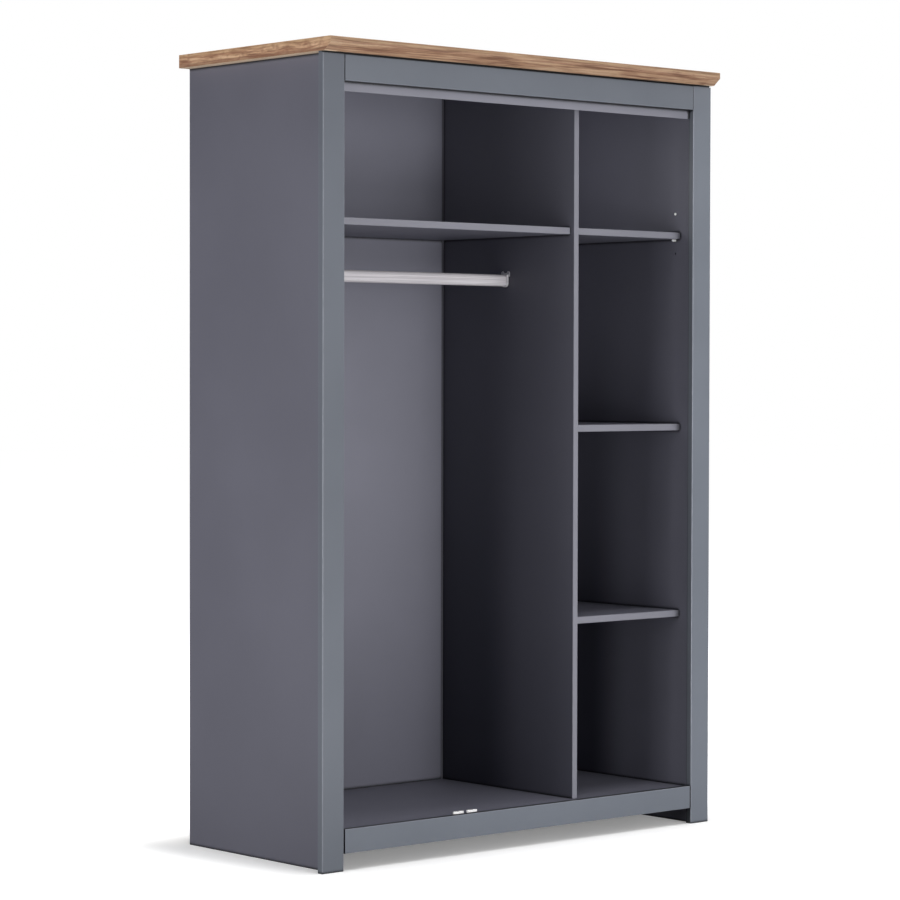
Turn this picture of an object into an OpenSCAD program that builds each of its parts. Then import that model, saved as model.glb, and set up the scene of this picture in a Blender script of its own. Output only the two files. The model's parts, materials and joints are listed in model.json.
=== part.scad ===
// Sliding door wardrobe carcass with its two doors lifted off.
// X runs across the width, Y from the front to the back, Z up.
// The origin is the centre of the footprint, on the floor.

/* [Overall] */
// Width over the two front stiles
body_w = 1200; // [900:10:1600]
// Height of the carcass under the top board
carcass_h = 1780; // [1600:5:2200]
// Depth from the stile fronts to the rear edges of the side panels
body_d = 522; // [450:1:650]
// Thickness of the carcass boards
board_t = 16; // [15:1:22]
// Thickness of the vertical divider
divider_t = 15; // [12:1:22]

/* [Front frame] */
// Width of a stile and, nearly, of the fascia
stile_w = 60; // [40:1:90]
// Thickness of the stiles, fascia and plinth
frame_t = 16; // [12:1:22]
// Rounding of the long front edges
edge_r = 2; // [1:0.5:5]
// Setback of a side panel from the outer edge of its stile
side_recess = 28; // [0:1:40]
// Height of the fascia's lower edge
fascia_z = 1719.5; // [1600:0.5:1760]
// Height of the plinth rail's lower edge
plinth_z0 = 38; // [0:1:80]
// Height of the plinth rail's upper edge
plinth_z1 = 91.5; // [60:0.5:150]
// Open joint between the fascia and each stile
frame_gap = 1.5; // [0.2:0.1:3]
// Open joint between the plinth rail and each stile
plinth_gap = 3.5; // [0.2:0.1:5]
// Height of the shadow groove between the front frame and the top board
shadow_gap = 3.5; // [0.5:0.5:4]
// Depth of that groove
shadow_d = 6; // [4:1:12]

/* [Top board] */
// Thickness of the top board
top_t = 30; // [18:1:40]
// Overhang of the top board in front of the stiles
top_front = 28; // [10:1:40]
// Overhang of the top board past each stile
top_side = 2; // [0:1:20]
// Height of the upright face above the bevel
top_face = 14; // [8:1:24]
// Depth of the bevel below that face
bevel_d = 20; // [5:1:25]
// Rounding of the upright face's upper and lower edges
top_r = 1.5; // [0.5:0.5:3]
// Rounding of the bevel's lower edge
bevel_r = 4; // [1:0.5:6]

/* [Interior] */
// Height of the floor panel's upper face
floor_z = 87; // [60:1:120]
// Left face of the divider, from the centre line
divider_x = 191.5; // [-300:0.5:300]
// Distance of the divider behind the stile fronts
divider_front = 48; // [40:1:70]
// Height of the lower edge of the strip behind the fascia
strip_z = 1698.5; // [1650:0.5:1740]
// Thickness of that strip
strip_t = 3; // [2:0.5:6]
// Rounding of the front edges of the shelves, the divider and the rails
board_r = 1; // [0.5:0.25:2]
// Rounding of the front edges of the side panels
panel_r = 2; // [0.5:0.25:3]
// Top faces of the fixed shelves: hat shelf, middle shelf, lower shelf
shelf_z = [1428, 965, 513];
// Distance of the hat shelf behind the stile fronts
hat_front = 62; // [50:1:90]
// Distance of the other shelves behind the stile fronts
shelf_front = 58; // [50:1:90]
// Underside of the adjustable shelf
loose_shelf_z = 1411.75; // [1300:0.25:1500]
// Side clearance of the adjustable shelf
loose_gap = 1; // [0.5:0.5:2]
// Front face of the back panels
back_y = 513; // [480:1:520]
// Thickness of the back panels
back_t = 3; // [2.5:0.5:8]

/* [Clothes rail] */
// Height of the rail's centre
rail_z = 1308.5; // [1100:0.5:1400]
// Distance of the rail behind the stile fronts
rail_y = 285; // [250:1:300]
// Height and width of the oval tube
rail_oval = [28, 15];
// Wall of the tube
rail_wall = 1.5; // [1:0.1:2]

/* [Door fittings] */
// Length of a floor guide
guide_l = 30; // [20:1:60]
// Left ends of the two floor guides
guide_x = [-188, -147];
// Width and height of a floor guide
guide_section = [8, 5.5];
// Front face of the floor guides behind the stile fronts
guide_y = 36; // [20:1:44]
// Width and height of the door track
track_section = [28, 14];
// Thickness of the track's web and legs
track_t = [2.5, 2];

/* [Shelf pins] */
// Heights of the pin holes: spare, in use, capped
pin_z = [1377, 1409, 1473];
// Distances of the pin holes behind the stile fronts
pin_y = [75, 474];
// Radius of a pin hole
pin_hole_r = 2.5; // [2:0.1:4]

/* [Hidden] */
$fn = 32;

// Radial clearance of a fastener in its hole, and how far a cutter overshoots
fit = 0.05;
over = 1;
// Overlap of two shapes that make up one solid
joined = 0.1;

// The stile fronts lie here, so that the footprint is centred on the origin
front_y = top_front - (body_d + top_front) / 2;

half_w = body_w / 2;
side_out = half_w - side_recess;
side_in = side_out - board_t;
side_mid = side_out - board_t / 2;
open_x = half_w - stile_w;
rail_x = open_x - frame_gap;
plinth_x = open_x - plinth_gap;
frame_h = carcass_h - shadow_gap;
floor_z0 = floor_z - board_t;
ceil_z = carcass_h - board_t;
divider_r = divider_x + divider_t;
divider_mid = divider_x + divider_t / 2;

// Cam fittings: bolt thread, bolt length in the board, cam and their holes
thread_r = 2.5;
thread_l = 11;
bolt_r = 3.5;
bolt_neck_r = 2;
bolt_l = 34;
bolt_hole_r = 4.05;
cam_r = 7.4;
cam_h = 12;
cam_pocket_r = 7.5;
cam_pocket_h = 12.6;
cam_sink = 0.2;
cam_slot = [10, 1.2, 1.6];
bolt_head_l = 3;
bolt_neck_l = 5;
head_slack = 0.4;

// Dowels: radius, depth in the first part and in the second
dowel_r = 4;
dowel_a = 10;
dowel_b = 20;
dowel_slack = 0.5;

// Directions of a fitting: two turns that lay local +X along the bolt, out of
// the joint into the board, and local +Z towards the face the cam is set in
right_up = [[0, 0, 0], [0, 0, 0]];
left_up = [[0, 0, 0], [0, 0, 180]];
right_down = [[180, 0, 0], [0, 0, 0]];
left_down = [[0, 0, 0], [0, 180, 0]];
right_rear = [[-90, 0, 0], [0, 0, 0]];
left_rear = [[90, 0, 0], [0, 0, 180]];
up_right = [[180, 0, 0], [0, -90, 0]];
down_right = [[0, 0, 0], [0, 90, 0]];
rearward = [[0, 0, 0], [0, 0, 90]];

// Cam joints by interface: [point on the contact plane, direction]
panel_cam_y = [80, 450];
shelf_cam_y = [120, 440];
ceiling_mid = ceil_z + board_t / 2;
floor_mid = floor_z0 + board_t / 2;
side_cams = [
    for (y = panel_cam_y) each [
        [[-side_in, y, ceiling_mid], right_up],
        [[side_in, y, ceiling_mid], left_up],
        [[-side_in, y, floor_mid], right_down],
        [[side_in, y, floor_mid], left_down]
    ]
];
divider_cams = [
    for (y = shelf_cam_y) each [
        [[divider_mid, y, floor_z], up_right],
        [[divider_mid, y, ceil_z], down_right]
    ]
];
hat_mid = shelf_z[0] - board_t / 2;
hat_cams = [
    for (y = shelf_cam_y) each [
        [[-side_in, y, hat_mid], right_up],
        [[divider_x, y, hat_mid], left_up]
    ]
];
shelf_cams = [
    for (i = [1, 2]) for (y = shelf_cam_y) each [
        [[divider_r, y, shelf_z[i] - board_t / 2], right_down],
        [[side_in, y, shelf_z[i] - board_t / 2], left_down]
    ]
];
frame_mid = frame_t / 2;
frame_cam_z = [1738, 55];
frame_cams = [
    for (z = frame_cam_z) each [
        [[-open_x, frame_mid, z], right_rear],
        [[open_x, frame_mid, z], left_rear]
    ]
];

// Dowel joints by interface: [point on the contact plane, direction]
stile_dowel_z = [130, 480, 890, 1300, 1640];
stile_dowels = [
    for (z = stile_dowel_z) each [
        [[-side_mid, frame_t, z], rearward],
        [[side_mid, frame_t, z], rearward]
    ]
];
frame_dowel_z = [1762, 78];
frame_dowels = [
    for (z = frame_dowel_z) each [
        [[-open_x, frame_mid, z], right_up],
        [[open_x, frame_mid, z], left_up]
    ]
];
panel_dowel_y = [150, 380];
side_dowels = [
    for (y = panel_dowel_y) each [
        [[-side_in, y, ceiling_mid], right_up],
        [[side_in, y, ceiling_mid], left_up],
        [[-side_in, y, floor_mid], right_up],
        [[side_in, y, floor_mid], left_up]
    ]
];
divider_dowel_y = [200, 360];
divider_dowels = [
    for (y = divider_dowel_y) each [
        [[divider_mid, y, floor_z], up_right],
        [[divider_mid, y, ceil_z], down_right]
    ]
];

// Back panels: groove in the side panels, joint strip behind the divider
groove_d = 6;
groove_slack = 0.1;
strip_flange = 1;
strip_web = 1.4;
strip_w = 24;
nail_r = 1;
nail_l = 16;
nail_head = [2.5, 0.8];
nail_x = [-500, -340, -180, -20, 140, 260, 380, 500];
nail_z = [floor_mid, ceiling_mid];

// Shelf pins and caps: hole depth, pin length outside, cap radius and height
pin_depth = 9;
pin_out = 10;
cap = [3.1, 1.2];

// Screws: shank radius, head radius, head height
screw = [2, 4, 2.4];
small_screw = [1.7, 3.4, 1.8];
top_screw_x = [-460, -150, 150, 460];
top_screw_y = [110, 410];
top_screw_l = 34;
strip_screw_x = [-480, -240, 0, 240, 480];
strip_screw_z = 1740;
strip_screw_l = 13;

// Rail sockets: plate, lip round the tube and the two screw ears
socket_plate_t = 1.5;
socket_lip_t = 1.5;
socket_lip_d = 5;
socket_slack = 0.3;
rail_end_gap = 0.5;
rail_r = rail_oval[1] / 2;
rail_flat = (rail_oval[0] - rail_oval[1]) / 2;
lip_r = rail_r + socket_slack + socket_lip_t;
lip_top = 14;
ear_r = 4.5;
ear_y = 10;
ear_z = 18;
socket_screw = [1.7, 3, 1.3];
socket_screw_l = 12;

// Door track screws, floor guide screws
track_screw_x = [-500, -250, 0, 250, 500];
track_screw_l = 14;
track_leg_y = track_section[0] / 2 - track_t[1] / 2;
track_y = (frame_t + strip_t + divider_front) / 2;
guide_screw_l = 15;

// Plinth blocks and the centre leg
block_l = 60;
block_s = 30;
block_x = [-420, 0, 420];
block_screw_l = block_s + 11;
block_screw_off = [15, 3];
leg_y = 300;
leg_plate = [60, 4];
leg_screw_off = 22;
leg_tube_r = 15;
leg_bore_r = 6;
foot_r = 20;
foot_h = 8;
foot_gap = 0.1;
leg_tube_z = 14;
foot_rod_top = 55;
leg_screw_l = 16;

// Wall brackets under the ceiling, against the back panel
bracket_x = [-400, 400];
bracket_w = 30;
bracket_leg = 40;
bracket_t = 2.5;
wall_hole_r = 3;
bracket_hole_z = ceil_z - 24;
bracket_screw_at_x = [-8, 8];
bracket_screw_y = [486, 498];
bracket_screw_l = 14;

// Colours
c_front = [0.44, 0.46, 0.49];
c_side = [0.40, 0.40, 0.44];
c_inner = [0.30, 0.30, 0.34];
c_edge = [0.51, 0.51, 0.55];
c_oak = [0.70, 0.56, 0.44];
c_steel = [0.70, 0.69, 0.70];
c_white = [0.95, 0.95, 0.95];
c_wood = [0.80, 0.68, 0.50];
c_grey = [0.35, 0.35, 0.37];

// Puts a node in place: inside, Y is measured from the stile fronts
module placed() {
    translate([0, front_y, 0]) children();
}

// Box between two values on each axis
module block(x, y, z) {
    translate([x[0], y[0], z[0]])
        cube([x[1] - x[0], y[1] - y[0], z[1] - z[0]]);
}

// Cylinders along X and Y that start at p and run in the positive direction
module rod_x(p, r, l) {
    translate(p) rotate([0, 90, 0]) cylinder(r = r, h = l);
}

module rod_y(p, r, l) {
    translate(p) rotate([-90, 0, 0]) cylinder(r = r, h = l);
}

module rod_z(p, r, l) {
    translate(p) cylinder(r = r, h = l);
}

// Puts its children at a joint, with local +X running into the board
module at_joint(j) {
    translate(j[0]) rotate(j[1][1]) rotate(j[1][0]) children();
}

// Blind thread holes in the upright that the joints' bolts are screwed into
module thread_holes(joints) {
    for (j = joints) at_joint(j)
        rod_x([-thread_l - dowel_slack, 0, 0], thread_r + fit,
              thread_l + dowel_slack + over);
}

// End hole and cam pocket in the board that is held
module cam_holes(joints, t = board_t) {
    for (j = joints) at_joint(j) {
        rod_x([-over, 0, 0], bolt_hole_r, bolt_l + over);
        rod_z([bolt_l, 0, t / 2 - cam_pocket_h], cam_pocket_r,
              cam_pocket_h + over);
    }
}

// Dowel holes in the first part, behind the contact plane
module dowel_holes_a(joints) {
    for (j = joints) at_joint(j)
        rod_x([-dowel_a - dowel_slack, 0, 0], dowel_r + fit,
              dowel_a + dowel_slack + over);
}

// Dowel holes in the second part, ahead of the contact plane
module dowel_holes_b(joints) {
    for (j = joints) at_joint(j)
        rod_x([-over, 0, 0], dowel_r + fit, dowel_b + dowel_slack + over);
}

// Countersunk screw: head top at the origin, shank along -Z
module countersunk(s, l) {
    translate([0, 0, -s[2]]) cylinder(r1 = s[0], r2 = s[1], h = s[2]);
    translate([0, 0, -l]) cylinder(r = s[0], h = l - s[2] + joined);
}

// Cutter for the same screw, a little larger all round
module countersunk_hole(s, l) {
    translate([0, 0, -s[2]])
        cylinder(r1 = s[0] + fit, r2 = s[1] + fit, h = s[2]);
    cylinder(r = s[1] + fit, h = over);
    translate([0, 0, -l - dowel_slack])
        cylinder(r = s[0] + fit, h = l + dowel_slack);
}

// Upright panel between x, y and z ranges whose two front edges are rounded
module upright(x, y, z, r) {
    block([x[0] + r, x[1] - r], y, z);
    block(x, [y[0] + r, y[1]], z);
    for (c = [x[0] + r, x[1] - r]) rod_z([c, y[0] + r, z[0]], r, z[1] - z[0]);
}

// Half of the angle at corner b between its edges towards a and c
function half_angle(a, b, c) = acos(unit(a - b) * unit(c - b)) / 2;
function unit(v) = v / norm(v);

// Where a round of radius r at corner b leaves the edge towards a
function round_end(a, b, c, r) =
    b + unit(a - b) * r / tan(half_angle(a, b, c));

// Middle of the round of radius r at corner b
function round_middle(a, b, c, r) =
    b + unit(unit(a - b) + unit(c - b)) * r / sin(half_angle(a, b, c));

// Bar along X between two X values. Its outline in Y and Z is a list of corners,
// and each corner is rounded by its radius in radii, where 0 leaves it sharp
module moulded_bar(x, outline, radii) {
    n = len(outline);
    trimmed = [
        for (i = [0 : n - 1])
            let (a = outline[(i + n - 1) % n], b = outline[i],
                 c = outline[(i + 1) % n], r = radii[i])
            each r == 0 ? [b] : [round_end(a, b, c, r), round_end(c, b, a, r)]
    ];
    translate([x[0], 0, 0]) rotate([90, 0, 90])
        linear_extrude(height = x[1] - x[0]) polygon(trimmed);
    for (i = [0 : n - 1]) if (radii[i] > 0) {
        m = round_middle(outline[(i + n - 1) % n], outline[i],
                         outline[(i + 1) % n], radii[i]);
        rod_x([x[0], m[0], m[1]], radii[i], x[1] - x[0]);
    }
}

// Shelf or rail along X with a rectangular section, its front edges rounded
module edged_bar(x, y, z, r_low, r_high) {
    moulded_bar(x, [[y[0], z[0]], [y[0], z[1]], [y[1], z[1]], [y[1], z[0]]],
                [r_low, r_high, 0, 0]);
}

// Countersunk screws that hold the top board from below the ceiling panel
module top_screw_cut() {
    for (x = top_screw_x) for (y = top_screw_y)
        translate([x, y, ceil_z]) rotate([180, 0, 0])
            countersunk_hole(screw, top_screw_l);
}

// Oak-effect top board with a reverse bevel under its front edge
module top_board() {
    half_t = half_w + top_side;
    color(c_oak) placed() difference() {
        moulded_bar([-half_t, half_t], [
            [-top_front, carcass_h + top_t],
            [-top_front, carcass_h + top_t - top_face],
            [-top_front + bevel_d, carcass_h],
            [body_d, carcass_h],
            [body_d, carcass_h + top_t]
        ], [top_r, top_r, bevel_r, 0, 0]);
        top_screw_cut();
    }
}

// Left or right stile of the front frame; the groove under the top board is cut into its top
module stile(side) {
    x0 = side > 0 ? open_x : -half_w;
    difference() {
        upright([x0, x0 + stile_w], [0, frame_t], [0, carcass_h], edge_r);
        block([x0 - over, x0 + stile_w + over], [-over, shadow_d], [frame_h, carcass_h + over]);
        dowel_holes_a(stile_dowels);
        dowel_holes_a(frame_dowels);
        thread_holes(frame_cams);
    }
}

module stile_left() {
    color(c_front) placed() stile(-1);
}

module stile_right() {
    color(c_front) placed() stile(1);
}

module fascia_rail() {
    color(c_front) placed() difference() {
        union() {
            edged_bar([-rail_x, rail_x], [0, frame_t], [fascia_z, frame_h], board_r, board_r);
            block([-rail_x, rail_x], [shadow_d, frame_t], [frame_h - board_t, carcass_h]);
        }
        cam_holes(frame_cams, frame_t);
        dowel_holes_b(frame_dowels);
        strip_screw_cut();
    }
}

module plinth_rail() {
    color(c_front) placed() difference() {
        edged_bar([-plinth_x, plinth_x], [0, frame_t], [plinth_z0, plinth_z1], board_r, board_r);
        cam_holes(frame_cams, frame_t);
        dowel_holes_b(frame_dowels);
        plinth_block_screw_cut();
    }
}

// Side panel with the groove for the back and all its blind holes
module side_panel(side) {
    x0 = side > 0 ? side_in : -side_out;
    gx0 = side > 0 ? side_in - over : -side_in - groove_d;
    difference() {
        upright([x0, x0 + board_t], [frame_t, body_d], [0, carcass_h], panel_r);
        block([gx0, gx0 + groove_d + over],
              [back_y, back_y + back_t + 2 * groove_slack],
              [floor_z0, carcass_h + over]);
        dowel_holes_b(stile_dowels);
        thread_holes(side_cams);
        dowel_holes_a(side_dowels);
    }
}

module side_panel_left() {
    color(c_side) placed() difference() {
        side_panel(-1);
        thread_holes(hat_cams);
        socket_screw_cut();
    }
}

module side_panel_right() {
    color(c_side) placed() difference() {
        side_panel(1);
        thread_holes(shelf_cams);
        pin_holes();
    }
}

// Ceiling panel under the top board
module ceiling_panel() {
    color(c_inner) placed() difference() {
        block([-side_in, side_in], [frame_t, back_y], [ceil_z, carcass_h]);
        cam_holes(side_cams);
        dowel_holes_b(side_dowels);
        thread_holes(divider_cams);
        dowel_holes_a(divider_dowels);
        top_screw_cut();
        track_screw_cut();
        bracket_screw_cut();
        nail_cut();
    }
}

module floor_panel() {
    color(c_inner) placed() difference() {
        block([-side_in, side_in], [frame_t, back_y], [floor_z0, floor_z]);
        cam_holes(side_cams);
        dowel_holes_b(side_dowels);
        thread_holes(divider_cams);
        dowel_holes_a(divider_dowels);
        guide_screw_cut();
        plinth_block_screw_cut();
        leg_screw_cut();
        nail_cut();
    }
}

module divider_panel() {
    color(c_inner) placed() difference() {
        upright([divider_x, divider_r],
                [divider_front, back_y - strip_flange], [floor_z, ceil_z], board_r);
        cam_holes(divider_cams, divider_t);
        dowel_holes_b(divider_dowels);
        thread_holes(hat_cams);
        thread_holes(shelf_cams);
        pin_holes();
        socket_screw_cut();
    }
}

// Thin strip on the rear of the fascia that shows below it
module fascia_strip() {
    color(c_edge) placed() difference() {
        block([-side_in, side_in], [frame_t, frame_t + strip_t],
              [strip_z, ceil_z]);
        strip_screw_cut();
    }
}

module strip_screw_cut() {
    for (x = strip_screw_x)
        translate([x, frame_t + strip_t, strip_screw_z]) rotate([-90, 0, 0])
            countersunk_hole(small_screw, strip_screw_l);
}

// Screws that hold the strip, driven forward into the fascia
module fascia_strip_screws() {
    color(c_steel) placed() for (x = strip_screw_x)
        translate([x, frame_t + strip_t, strip_screw_z]) rotate([-90, 0, 0])
            countersunk(small_screw, strip_screw_l);
}

module hat_shelf() {
    color(c_inner) placed() difference() {
        edged_bar([-side_in, divider_x], [hat_front, back_y - strip_flange],
                  [shelf_z[0] - board_t, shelf_z[0]], board_r, board_r);
        cam_holes(hat_cams);
    }
}

// Adjustable shelf that rests on four pins
module shelf_upper() {
    color(c_inner) placed()
        edged_bar([divider_r + loose_gap, side_in - loose_gap],
                  [shelf_front, back_y - strip_flange - loose_gap],
                  [loose_shelf_z, loose_shelf_z + board_t], board_r, board_r);
}

// Fixed shelf between the divider and the right side panel
module fixed_shelf(z) {
    difference() {
        edged_bar([divider_r, side_in], [shelf_front, back_y - strip_flange],
                  [z - board_t, z], board_r, board_r);
        cam_holes(shelf_cams);
    }
}

module shelf_middle() {
    color(c_inner) placed() fixed_shelf(shelf_z[1]);
}

module shelf_lower() {
    color(c_inner) placed() fixed_shelf(shelf_z[2]);
}

// Thin back panel between two X values, nailed to the floor and ceiling
module back_panel(x0, x1) {
    difference() {
        block([x0, x1],
              [back_y + groove_slack, back_y + back_t + groove_slack],
              [floor_z0, carcass_h]);
        nail_cut();
        wall_hole_cut();
    }
}

module back_panel_left() {
    color(c_inner) placed()
        back_panel(-side_in - groove_d + groove_slack,
                   divider_mid - strip_web / 2);
}

module back_panel_right() {
    color(c_inner) placed()
        back_panel(divider_mid + strip_web / 2,
                   side_in + groove_d - groove_slack);
}

// H-shaped strip that joins the two back panels behind the divider
module back_joint_strip() {
    y_in = back_y - strip_flange;
    y_out = back_y + back_t + 2 * groove_slack;
    color(c_grey) placed() {
        block([divider_mid - strip_w / 2, divider_mid + strip_w / 2],
              [y_in, back_y], [floor_z, ceil_z]);
        block([divider_mid - strip_web / 2, divider_mid + strip_web / 2],
              [y_in, y_out + strip_flange], [floor_z, ceil_z]);
        block([divider_mid - strip_w / 2, divider_mid + strip_w / 2],
              [y_out, y_out + strip_flange], [floor_z, ceil_z]);
    }
}

// Solid oval bar along X
module oval_bar(x0, x1, grow) {
    r = rail_r + grow;
    for (z = [-rail_flat, rail_flat])
        rod_x([x0, rail_y, rail_z + z], r, x1 - x0);
    block([x0, x1], [rail_y - r, rail_y + r],
          [rail_z - rail_flat, rail_z + rail_flat]);
}

rail_x0 = -side_in + socket_plate_t + rail_end_gap;
rail_x1 = divider_x - socket_plate_t - rail_end_gap;

// Oval tube that lies in the two open sockets
module hanging_rail() {
    color(c_steel) placed() difference() {
        oval_bar(rail_x0, rail_x1, 0);
        oval_bar(rail_x0 - over, rail_x1 + over, -rail_wall);
    }
}

// Outline of the lip on one side of its plate, open at the top
module socket_solid(x0, l, r) {
    rod_x([x0, rail_y, rail_z - rail_flat], r, l);
    block([x0, x0 + l], [rail_y - r, rail_y + r],
          [rail_z - rail_flat, rail_z + lip_top]);
}

// Socket with its wall side at x and its lip running in direction side
module rail_socket(x, side) {
    plate_x = side > 0 ? x : x - socket_plate_t;
    lip_x = side > 0 ? x : x - socket_plate_t - socket_lip_d;
    lip_l = socket_plate_t + socket_lip_d;
    slot_x = side > 0 ? x + socket_plate_t : lip_x - over;
    slot_l = socket_lip_d + over;
    slot_r = rail_r + socket_slack;
    difference() {
        union() {
            socket_solid(lip_x, lip_l, lip_r);
            for (y = [-ear_y, ear_y]) {
                rod_x([plate_x, rail_y + y, rail_z + ear_z], ear_r,
                      socket_plate_t);
            }
            block([plate_x, plate_x + socket_plate_t],
                  [rail_y - ear_y - ear_r, rail_y + ear_y + ear_r],
                  [rail_z + lip_top - ear_r, rail_z + ear_z]);
        }
        rod_x([slot_x, rail_y, rail_z - rail_flat], slot_r, slot_l);
        block([slot_x, slot_x + slot_l], [rail_y - slot_r, rail_y + slot_r],
              [rail_z - rail_flat, rail_z + lip_top + over]);
        socket_screw_cut();
    }
}

module rail_socket_left() {
    color(c_steel) placed() rail_socket(-side_in, 1);
}

module rail_socket_right() {
    color(c_steel) placed() rail_socket(divider_x, -1);
}

// Screw positions on the two sockets: head face, turn that lays -Z inwards
socket_screw_at = [
    for (y = [-ear_y, ear_y]) each [
        [[-side_in + socket_plate_t, rail_y + y, rail_z + ear_z], [0, 90, 0]],
        [[divider_x - socket_plate_t, rail_y + y, rail_z + ear_z],
         [0, -90, 0]]
    ]
];
module socket_screw_cut() {
    for (s = socket_screw_at)
        translate(s[0]) rotate(s[1])
            countersunk_hole(socket_screw, socket_screw_l);
}

module rail_socket_screws() {
    color(c_steel) placed() for (s = socket_screw_at)
        translate(s[0]) rotate(s[1])
            countersunk(socket_screw, socket_screw_l);
}

// Floor guide that keeps a door's lower edge in line
module floor_guide(x) {
    r = guide_section[0] / 2;
    y = guide_y + r;
    difference() {
        union() {
            for (cx = [x + r, x + guide_l - r])
                rod_z([cx, y, floor_z], r, guide_section[1]);
            block([x + r, x + guide_l - r],
                  [guide_y, guide_y + guide_section[0]],
                  [floor_z, floor_z + guide_section[1]]);
        }
        guide_screw_cut();
    }
}

module floor_guide_left() {
    color(c_white) placed() floor_guide(guide_x[0]);
}

module floor_guide_right() {
    color(c_white) placed() floor_guide(guide_x[1]);
}

guide_screw_at = [
    for (x = guide_x) [
        x + guide_l / 2, guide_y + guide_section[0] / 2,
        floor_z + guide_section[1]
    ]
];

module guide_screw_cut() {
    for (p = guide_screw_at)
        translate(p) countersunk_hole(small_screw, guide_screw_l);
}

module floor_guide_screws() {
    color(c_steel) placed() for (p = guide_screw_at)
        translate(p) countersunk(small_screw, guide_screw_l);
}

// Two-channel door track under the ceiling panel, open downwards
module door_track() {
    z_web = ceil_z - track_t[0];
    z_low = ceil_z - track_section[1];
    half = track_section[0] / 2;
    l = side_in - 1;
    color(c_steel) placed() difference() {
        union() {
            block([-l, l], [track_y - half, track_y + half], [z_web, ceil_z]);
            for (y = [-track_leg_y, 0, track_leg_y])
                block([-l, l],
                      [track_y + y - track_t[1] / 2,
                       track_y + y + track_t[1] / 2],
                      [z_low, z_web]);
        }
        track_screw_cut();
    }
}

track_screw_at = [
    for (x = track_screw_x) for (y = [-track_leg_y / 2, track_leg_y / 2])
        [x, track_y + y, ceil_z - track_t[0]]
];

module track_screw_cut() {
    for (p = track_screw_at)
        translate(p) rotate([180, 0, 0])
            countersunk_hole(small_screw, track_screw_l);
}

module door_track_screws() {
    color(c_steel) placed() for (p = track_screw_at)
        translate(p) rotate([180, 0, 0])
            countersunk(small_screw, track_screw_l);
}

// Pin holes in the right side panel and the divider
module pin_holes() {
    for (y = pin_y) for (z = pin_z) {
        rod_x([side_in - over, y, z], pin_hole_r, pin_depth + over);
        rod_x([divider_r - pin_depth, y, z], pin_hole_r, pin_depth + over);
    }
}

// Four pins under the adjustable shelf
module shelf_pins() {
    r = pin_hole_r - fit;
    l = pin_out + pin_depth - dowel_slack;
    color(c_white) placed() for (y = pin_y) {
        rod_x([side_in - pin_out, y, pin_z[1]], r, l);
        rod_x([divider_r - pin_depth + dowel_slack, y, pin_z[1]], r, l);
    }
}

// Caps in the unused upper pin holes
module hole_caps() {
    r = pin_hole_r - fit;
    l = pin_depth - dowel_slack;
    color(c_white) placed() for (y = pin_y) {
        rod_x([side_in - cap[1], y, pin_z[2]], cap[0], cap[1]);
        rod_x([side_in - cap[1], y, pin_z[2]], r, l + cap[1]);
        rod_x([divider_r, y, pin_z[2]], cap[0], cap[1]);
        rod_x([divider_r - l, y, pin_z[2]], r, l + cap[1]);
    }
}

// Cam joints with the thickness of the board that holds the cam
cam_sets = [
    [concat(side_cams, hat_cams, shelf_cams), board_t],
    [divider_cams, divider_t],
    [frame_cams, frame_t]
];

// Round cams with a driver slot and the opening for the bolt's head
module cam_locks() {
    color(c_steel) placed() for (s = cam_sets) for (j = s[0]) at_joint(j)
        difference() {
            rod_z([bolt_l, 0, s[1] / 2 - cam_h - cam_sink], cam_r, cam_h);
            rod_x([bolt_l - cam_r - over, 0, 0], bolt_r + head_slack,
                  cam_r + over + bolt_head_l + over);
            translate([bolt_l - cam_slot[0] / 2, -cam_slot[1] / 2,
                       s[1] / 2 - cam_slot[2]])
                cube([cam_slot[0], cam_slot[1], cam_slot[2] + over]);
        }
}

// Bolts: thread in the upright, shank and head in the board
module cam_bolts() {
    shank_l = bolt_l - cam_r - dowel_slack;
    color(c_steel) placed() for (s = cam_sets) for (j = s[0]) at_joint(j) {
        rod_x([-thread_l, 0, 0], thread_r, thread_l + joined);
        rod_x([0, 0, 0], bolt_r, shank_l);
        rod_x([shank_l - joined, 0, 0], bolt_neck_r,
              bolt_neck_l + 2 * joined);
        rod_x([shank_l + bolt_neck_l, 0, 0], bolt_r, bolt_head_l);
    }
}

// Beech dowels of every joint
module dowels() {
    sets = concat(stile_dowels, frame_dowels, side_dowels, divider_dowels);
    color(c_wood) placed() for (j = sets) at_joint(j)
        rod_x([-dowel_a, 0, 0], dowel_r, dowel_a + dowel_b);
}

module top_screws() {
    color(c_steel) placed() for (x = top_screw_x) for (y = top_screw_y)
        translate([x, y, ceil_z]) rotate([180, 0, 0])
            countersunk(screw, top_screw_l);
}

module nail_cut() {
    for (x = nail_x) for (z = nail_z)
        rod_y([x, back_y + back_t - nail_l, z], nail_r + fit,
              nail_l + groove_slack + over);
}

// Flat-headed nails through the back panels
module back_nails() {
    y_head = back_y + back_t + groove_slack;
    color(c_steel) placed() for (x = nail_x) for (z = nail_z) {
        rod_y([x, y_head, z], nail_head[0], nail_head[1]);
        rod_y([x, y_head - nail_l + dowel_slack, z], nail_r,
              nail_l - dowel_slack + joined);
    }
}

// Wooden blocks between the plinth rail and the floor panel
module plinth_blocks() {
    color(c_wood) placed() difference() {
        for (x = block_x)
            block([x - block_l / 2, x + block_l / 2],
                  [frame_t, frame_t + block_s],
                  [floor_z0 - block_s, floor_z0]);
        plinth_block_screw_cut();
    }
}

// Screw heads sit in the blocks; one screw runs forward and one up in each
block_screw_at = [
    for (x = block_x) each [
        [[x - block_screw_off[0], frame_t + block_s,
          floor_z0 - block_s / 2 - block_screw_off[1]],
         [-90, 0, 0]],
        [[x + block_screw_off[0], frame_t + block_s / 2 + block_screw_off[1],
          floor_z0 - block_s],
         [180, 0, 0]]
    ]
];

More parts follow.
